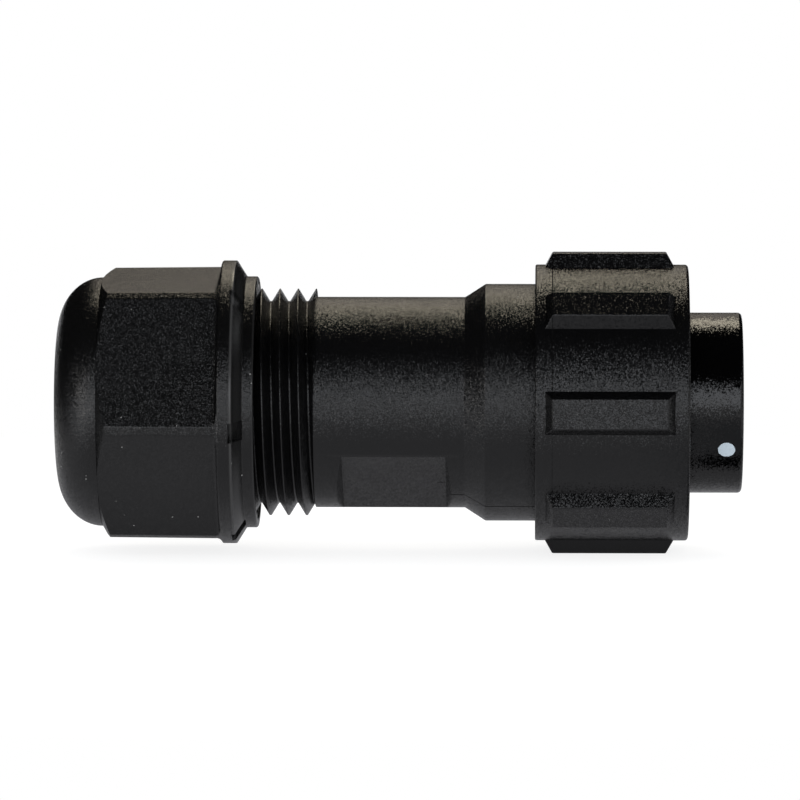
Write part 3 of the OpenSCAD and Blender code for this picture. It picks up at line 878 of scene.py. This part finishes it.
# In the gloss, the paper's brightness falls between these two depths, from open paper to shade.
GLOSS_FRONT, GLOSS_BACK = -0.012, -0.002
GLOSS_OPEN, GLOSS_SHADED, GLOSS_TINT = 0.68, 0.41, (0.96, 0.96, 1, 1)
pick()
bpy.ops.mesh.primitive_plane_add(size=FLOOR_SIZE)
floor = named("floor")
paper = bpy.data.materials.new("studio_paper")
tree = bare_tree(paper)
place = add(tree, "TexCoord", {}).outputs["Object"]
away = add(tree, "VectorMath", {0: place}, operation="LENGTH").outputs["Value"]
fade = add(tree, "MapRange", {"Value": away, "From Min": SHADOW_NEAR, "From Max": SHADOW_FAR})
lit = add(tree, "BsdfDiffuse", {"Color": PAPER})
shade = add(tree, "BsdfDiffuse", {"Color": PAPER_SHADE})
glow = add(tree, "Emission", {"Strength": PAPER_GLOW})
near = add(tree, "AddShader", {0: shade, 1: glow})
far = add(tree, "Emission", {"Strength": 1})
rays = add(tree, "LightPath", {}).outputs
looked_at = calc(tree, "MAXIMUM", rays["Is Camera Ray"], rays["Is Transmission Ray"])
depth = add(tree, "SeparateXYZ", {0: place}).outputs[1]
level = add(tree, "MapRange", {"Value": depth, "From Min": GLOSS_FRONT, "From Max": GLOSS_BACK,
                               "To Min": GLOSS_OPEN, "To Max": GLOSS_SHADED})
mirrored = add(tree, "Emission", {"Color": GLOSS_TINT, "Strength": level})
close = add(tree, "MixShader", {0: looked_at, 1: mirrored, 2: near})
sweep = add(tree, "MixShader", {0: fade, 1: close, 2: far})
seen = add(tree, "MixShader", {0: shows_background(tree), 1: lit, 2: sweep})
add(tree, "OutputMaterial", {"Surface": seen})
floor.data.materials.append(paper)
print("floor", FLOOR_SIZE, "m wide, its shadow fading out from", SHADOW_NEAR, "to", SHADOW_FAR, "m")

# %% [markdown]
# In a white room black plastic looks grey all over. A photographer hangs black cloth over the set, so that
# only the softboxes and the paper show in the gloss. The cloth here is half a sphere that only mirrored
# rays meet: the camera sees through it, and it takes no light away from the plug.

# %% Black cloth over the set
CLOTH_R, CLOTH_LEVEL = 1.6, 0.01


def show_in_gloss(piece, name, colour, brightness):
    """Lets only mirrored rays meet a piece of the stage, and gives it one even brightness there."""
    piece.visible_camera = piece.visible_diffuse = False
    piece.visible_transmission = piece.visible_shadow = False
    material = bpy.data.materials.new(name)
    tree = bare_tree(material)
    face = add(tree, "Emission", {"Color": colour, "Strength": brightness})
    add(tree, "OutputMaterial", {"Surface": face})
    piece.data.materials.append(material)


pick()
bpy.ops.mesh.primitive_uv_sphere_add(segments=32, ring_count=16, radius=CLOTH_R)
cloth = named("black_cloth")
bpy.ops.object.mode_set(mode="EDIT")
select_all()
bpy.ops.mesh.bisect(plane_co=(0, 0, 0), plane_no=(0, 0, 1), clear_inner=True)
put_down()
show_in_gloss(cloth, "black_felt", (1, 1, 1, 1), CLOTH_LEVEL)
print("black cloth", CLOTH_R, "m round the set")

# %% [markdown]
# A photographer also lays cards on the table to shape what the gloss shows: a black strip draws the dark
# stripe along the nose, a grey card lights the rest of it, a white one lights the dome, and dark ones at
# the left and behind keep the far edges from glaring. Only mirrored rays meet them.

# %% Cards on the table
CARD_UNDERSIDE, CARD_TOP = 0.0004, 0.0006
CARD_TINT = (0.92, 0.95, 1, 1)
CARDS = {
    "grey_card": ((0.0325, -0.070), (0.060, -0.0126), 0.45),
    "black_card": ((0.0325, -0.0126), (0.060, -0.0082), 0.0),
    "white_card": ((-0.40, -0.40), (-0.058, -0.031), 1.7),
    "left_card": ((-1.2, -0.03), (-0.11, 0.6), 0.02),
    "back_card": ((-0.11, 0.14), (1.2, 1.2), 0.05),
}
for name, (low, high, brightness) in CARDS.items():
    card = block(name, (*low, CARD_UNDERSIDE), (*high, CARD_TOP))
    show_in_gloss(card, name, CARD_TINT, brightness)
print("cards on the table:", list(CARDS))

# %% [markdown]
# ## Finishes
# Three effects repeat, so each is a node group: the grain that a spark-eroded mould leaves on black
# plastic, specks of dust, and a band round the axis at one station. The grain is made of tiny cells that
# lean each its own way, so it sparkles where a bump would be averaged to an even sheen. A group only puts
# out heights, masks and directions. The shader that uses them stays in the material.

# %% Node groups
FINE_DETAIL, FINE_ROUGHNESS, BROAD_DETAIL = 1.5, 0.6, 3
WIDER_CELLS = 0.7  # scale of the second layer of facets, as a share of the first one's


def new_group(name, inputs, outputs):
    """An empty node group with its named sockets, what it is given, and the node of its results."""
    group = bpy.data.node_groups.new(name, "ShaderNodeTree")
    for direction, sockets in (("INPUT", inputs), ("OUTPUT", outputs)):
        for title, kind in sockets.items():
            group.interface.new_socket(title, in_out=direction, socket_type="NodeSocket" + kind)
    return group, group.nodes.new("NodeGroupInput").outputs, group.nodes.new("NodeGroupOutput")


def per_metre(tree, millimetres):
    """Texture scale for a feature of this size in millimetres."""
    return calc(tree, "DIVIDE", 1 / MM, millimetres)


grain_group, given, result = new_group(
    "moulded_grain", dict(Place="Vector", Grain="Float", Patch="Float"),
    dict(Height="Float", Mottle="Float", Tilt="Vector"))
cell = per_metre(grain_group, given["Grain"])
fine = add(grain_group, "TexNoise", {
    "Vector": given["Place"], "Scale": cell, "Detail": FINE_DETAIL, "Roughness": FINE_ROUGHNESS})
broad = add(grain_group, "TexNoise", {
    "Vector": given["Place"], "Scale": per_metre(grain_group, given["Patch"]), "Detail": BROAD_DETAIL})
wider = calc(grain_group, "MULTIPLY", cell, WIDER_CELLS)
facets = [add(grain_group, "TexVoronoi", {"Vector": given["Place"], "Scale": scale}).outputs["Color"]
          for scale in (cell, wider)]
both = add(grain_group, "VectorMath", {0: facets[0], 1: facets[1]}, operation="ADD")
tilt = add(grain_group, "VectorMath", {0: both, 1: (1, 1, 1)}, operation="SUBTRACT")
plug(grain_group, result, {"Height": fine, "Mottle": broad, "Tilt": tilt})

dust_group, given, result = new_group(
    "dust_specks", dict(Place="Vector", Spacing="Float", Share="Float", Size="Float"), dict(Speck="Float"))
cells = add(dust_group, "TexVoronoi", {
    "Vector": given["Place"], "Scale": per_metre(dust_group, given["Spacing"])})
draw = add(dust_group, "SeparateColor", {0: cells.outputs["Color"]}).outputs
reach = calc(dust_group, "MULTIPLY", given["Size"], draw[1])
inside = calc(dust_group, "LESS_THAN", cells.outputs["Distance"], reach)
chosen = calc(dust_group, "LESS_THAN", draw[0], given["Share"])
plug(dust_group, result, {"Speck": calc(dust_group, "MULTIPLY", inside, chosen)})

band_group, given, result = new_group(
    "band_round", dict(Place="Vector", Middle="Float", Width="Float"), dict(Band="Float"))
station = add(band_group, "SeparateXYZ", {0: given["Place"]})
apart = calc(band_group, "ABSOLUTE", calc(band_group, "SUBTRACT", station, given["Middle"]))
line = add(band_group, "MapRange", {"Value": apart, "From Min": 0, "From Max": given["Width"],
                                    "To Min": 1, "To Max": 0}, interpolation_type="SMOOTHSTEP")
plug(band_group, result, {"Band": line})
print("node groups:", [g.name for g in bpy.data.node_groups])

# %% [markdown]
# The black mouldings share one recipe with different numbers. The pigment is nearly black, so what shows
# is gloss: the grain tilts the surface a little everywhere, and the mottle makes some patches rougher.
# Bands on the flange's and skirt's edges are smooth and pale, partly wear and partly painted highlight. One
# on the ring is a mould seam.

# %% Black mouldings
SPECULAR = 0.34
DUST = (0.30, 0.30, 0.29, 1)
DUST_SPACING, DUST_SIZE = 1.0, 0.09
MOULDING_PATCH, MOULDING_SWING = 5, 0.02
NOISE_LOW, NOISE_HIGH = 0.3, 0.7


def group_node(tree, group, plugs):
    """Places a node group in a material and hands back its outputs."""
    return add(tree, "Group", plugs, node_tree=group).outputs


def start_material(name):
    """A material with only its shader, and the Object coordinates that everything reads."""
    material = bpy.data.materials.new(name)
    material.use_nodes = True
    tree = material.node_tree
    return material, tree, tree.nodes["Principled BSDF"], add(tree, "TexCoord", {}).outputs["Object"]


def varied(tree, noise, roughness, swing):
    """A roughness that swings a little either way with a noise."""
    return add(tree, "MapRange", {"Value": noise, "From Min": NOISE_LOW, "From Max": NOISE_HIGH,
                                  "To Min": roughness - swing, "To Max": roughness + swing})


def band(station, width, strength):
    """A band round the axis: its middle and width in bench millimetres, and how strongly it shows."""
    return BENCH_ZERO.x + station * MM, width * MM, strength


def band_mask(tree, place, middle, width):
    """1 in the middle of a band, falling to 0 at its sides."""
    return group_node(tree, band_group, {"Place": place, "Middle": middle, "Width": width})["Band"]


def moulding(name, pigment, roughness, grain, tilt, dust, worn_and_highlit=(), groove=None):
    """Black moulded plastic: grain in mm, the tilt of its facets, and dust as a share of its cells."""
    material, tree, shader, place = start_material(name)
    surface = group_node(tree, grain_group, {"Place": place, "Grain": grain, "Patch": MOULDING_PATCH})
    specks = group_node(tree, dust_group, {
        "Place": place, "Spacing": DUST_SPACING, "Share": dust, "Size": DUST_SIZE})
    smooth = add(tree, "NewGeometry", {}).outputs["Normal"]
    normal = add(tree, "VectorMath", {0: surface["Tilt"], 1: (tilt, tilt, tilt), 2: smooth},
                 operation="MULTIPLY_ADD")
    colour = (*pigment, 1)
    # Pale, smoother bands: partly wear, partly a painted highlight and sheen along the edges.
    for middle, width, wear_and_sheen in worn_and_highlit:
        mask = band_mask(tree, place, middle, width)
        pale = (wear_and_sheen, wear_and_sheen, wear_and_sheen, 1)
        colour = add(tree, "Mix", {0: mask, 6: colour, 7: pale}, data_type="RGBA").outputs[2]
        normal = add(tree, "Mix", {0: mask, 4: normal, 5: smooth}, data_type="VECTOR").outputs[1]
    normal = add(tree, "VectorMath", {0: normal}, operation="NORMALIZE")
    if groove:
        middle, width, depth = groove
        cut = {"Height": band_mask(tree, place, middle, width), "Distance": depth, "Strength": 1}
        normal = add(tree, "Bump", {**cut, "Normal": normal}, invert=True)
    colour = add(tree, "Mix", {0: specks["Speck"], 6: colour, 7: DUST}, data_type="RGBA").outputs[2]
    gloss = varied(tree, surface["Mottle"], roughness, MOULDING_SWING)
    plug(tree, shader, {
        "Base Color": colour, "Roughness": gloss, "Normal": normal, "Specular IOR Level": SPECULAR})
    return material


seam_station = 54.4
bevel_share = 0.7
# The nut's pale bands on the flange's bevel and corners are partly wear, partly painted highlight and
# sheen.
flange_bevel = band((flange_front + skirt_back) / 2, (skirt_back - flange_front) * bevel_share, 0.010)
flange_corner = band(flange_front - 0.07, 0.24, 0.032)
skirt_corner = band(nut_front - 0.12, 0.16, 0.010)
ring_seam = band(seam_station, 0.06, 0.05 * MM)
# Each moulding: pigment, roughness, grain, tilt and dust.
nut_plastic = moulding("nut_plastic", (0.0020, 0.0020, 0.0021), 0.24, 0.06, 0.31, 0.4,
                       worn_and_highlit=(flange_bevel, flange_corner, skirt_corner))
shell_plastic = moulding("shell_plastic", (0.0018, 0.0018, 0.0020), 0.21, 0.06, 0.34, 0.03)
ring_plastic = moulding("ring_plastic", (0.0018, 0.0018, 0.0020), 0.18, 0.068, 0.34, 0.03, groove=ring_seam)
insert_plastic = moulding("insert_plastic", (0.0005, 0.0005, 0.0006), 0.11, 0.09, 0.16, 0.02)
cage_plastic = moulding("cage_plastic", (0.010, 0.010, 0.010), 0.50, 0.20, 0.20, 0.02)
print("mouldings: nut, shell, ring, insert, cage")

# %% [markdown]
# Rubber is duller and softer looking than the plastic. The brass was turned, so fine rings run round each
# pin, and the screws are plated steel with a slight brushed streak.

# %% Rubber, brass, steel and paint
PLAIN_PATCH, PLAIN_SWING = 3, 0.06


def plain_surface(name, colour, shade, roughness, grain, depth, metallic=0.0, stretch=(1, 1, 1)):
    """A surface whose colour and roughness vary with one grain, which may be stretched."""
    material, tree, shader, place = start_material(name)
    if stretch != (1, 1, 1):
        place = add(tree, "Mapping", {"Vector": place, "Scale": stretch})
    surface = group_node(tree, grain_group, {"Place": place, "Grain": grain, "Patch": PLAIN_PATCH})
    tone = add(tree, "Mix", {0: surface["Mottle"], 6: (*colour, 1), 7: (*shade, 1)}, data_type="RGBA")
    gloss = varied(tree, surface["Height"], roughness, PLAIN_SWING)
    bump = add(tree, "Bump", {"Height": surface["Height"], "Distance": depth, "Strength": 1})
    plug(tree, shader, {
        "Base Color": tone.outputs[2], "Roughness": gloss, "Normal": bump, "Metallic": metallic})
    return material


# Each surface: two colours that it varies between, roughness, grain in mm and depth in m.
seal_rubber = plain_surface("seal_rubber", (0.010, 0.010, 0.010), (0.014, 0.014, 0.014),
                            0.62, 0.25, 0.000010)
contact_brass = plain_surface("contact_brass", (0.82, 0.63, 0.27), (0.74, 0.55, 0.22), 0.26, 0.9, 0.000003,
                              metallic=1, stretch=(12, 1, 1))
screw_steel = plain_surface("screw_steel", (0.58, 0.58, 0.60), (0.48, 0.48, 0.49), 0.34, 0.6, 0.000003,
                            metallic=1, stretch=(1, 8, 1))
mark_paint = plain_surface("mark_paint", (0.52, 0.60, 0.66), (0.44, 0.52, 0.58), 0.45, 0.2, 0.000004)
print("other finishes: rubber, brass, steel, paint")

# %% [markdown]
# A modelled piece takes its finish as its only material. The small CAD nodes that still show, such as the
# seals and the screws, keep their own slots, and only the material in a slot is changed.

# %% Every piece gets its finish
FINISHES = {
    nut_plastic: [nut], shell_plastic: [shell], ring_plastic: [ring],
    insert_plastic: [insert, carrier], contact_brass: pins, mark_paint: [mark],
}
for finish, pieces in FINISHES.items():
    for piece in pieces:
        piece.data.materials.clear()
        piece.data.materials.append(finish)

NODE_FINISHES = {
    "clamping_cage": cage_plastic, "cable_seal": seal_rubber, "contact_retainer": insert_plastic,
    "insert_o_ring": seal_rubber, "face_gasket": seal_rubber,
}
for i in range(1, contact_count + 1):
    NODE_FINISHES[f"terminal_screw_{i}"] = screw_steel
for name, finish in NODE_FINISHES.items():
    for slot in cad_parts[name].material_slots:
        slot.material = finish
print("finished", sum(map(len, FINISHES.values())), "pieces and", len(NODE_FINISHES), "CAD nodes")
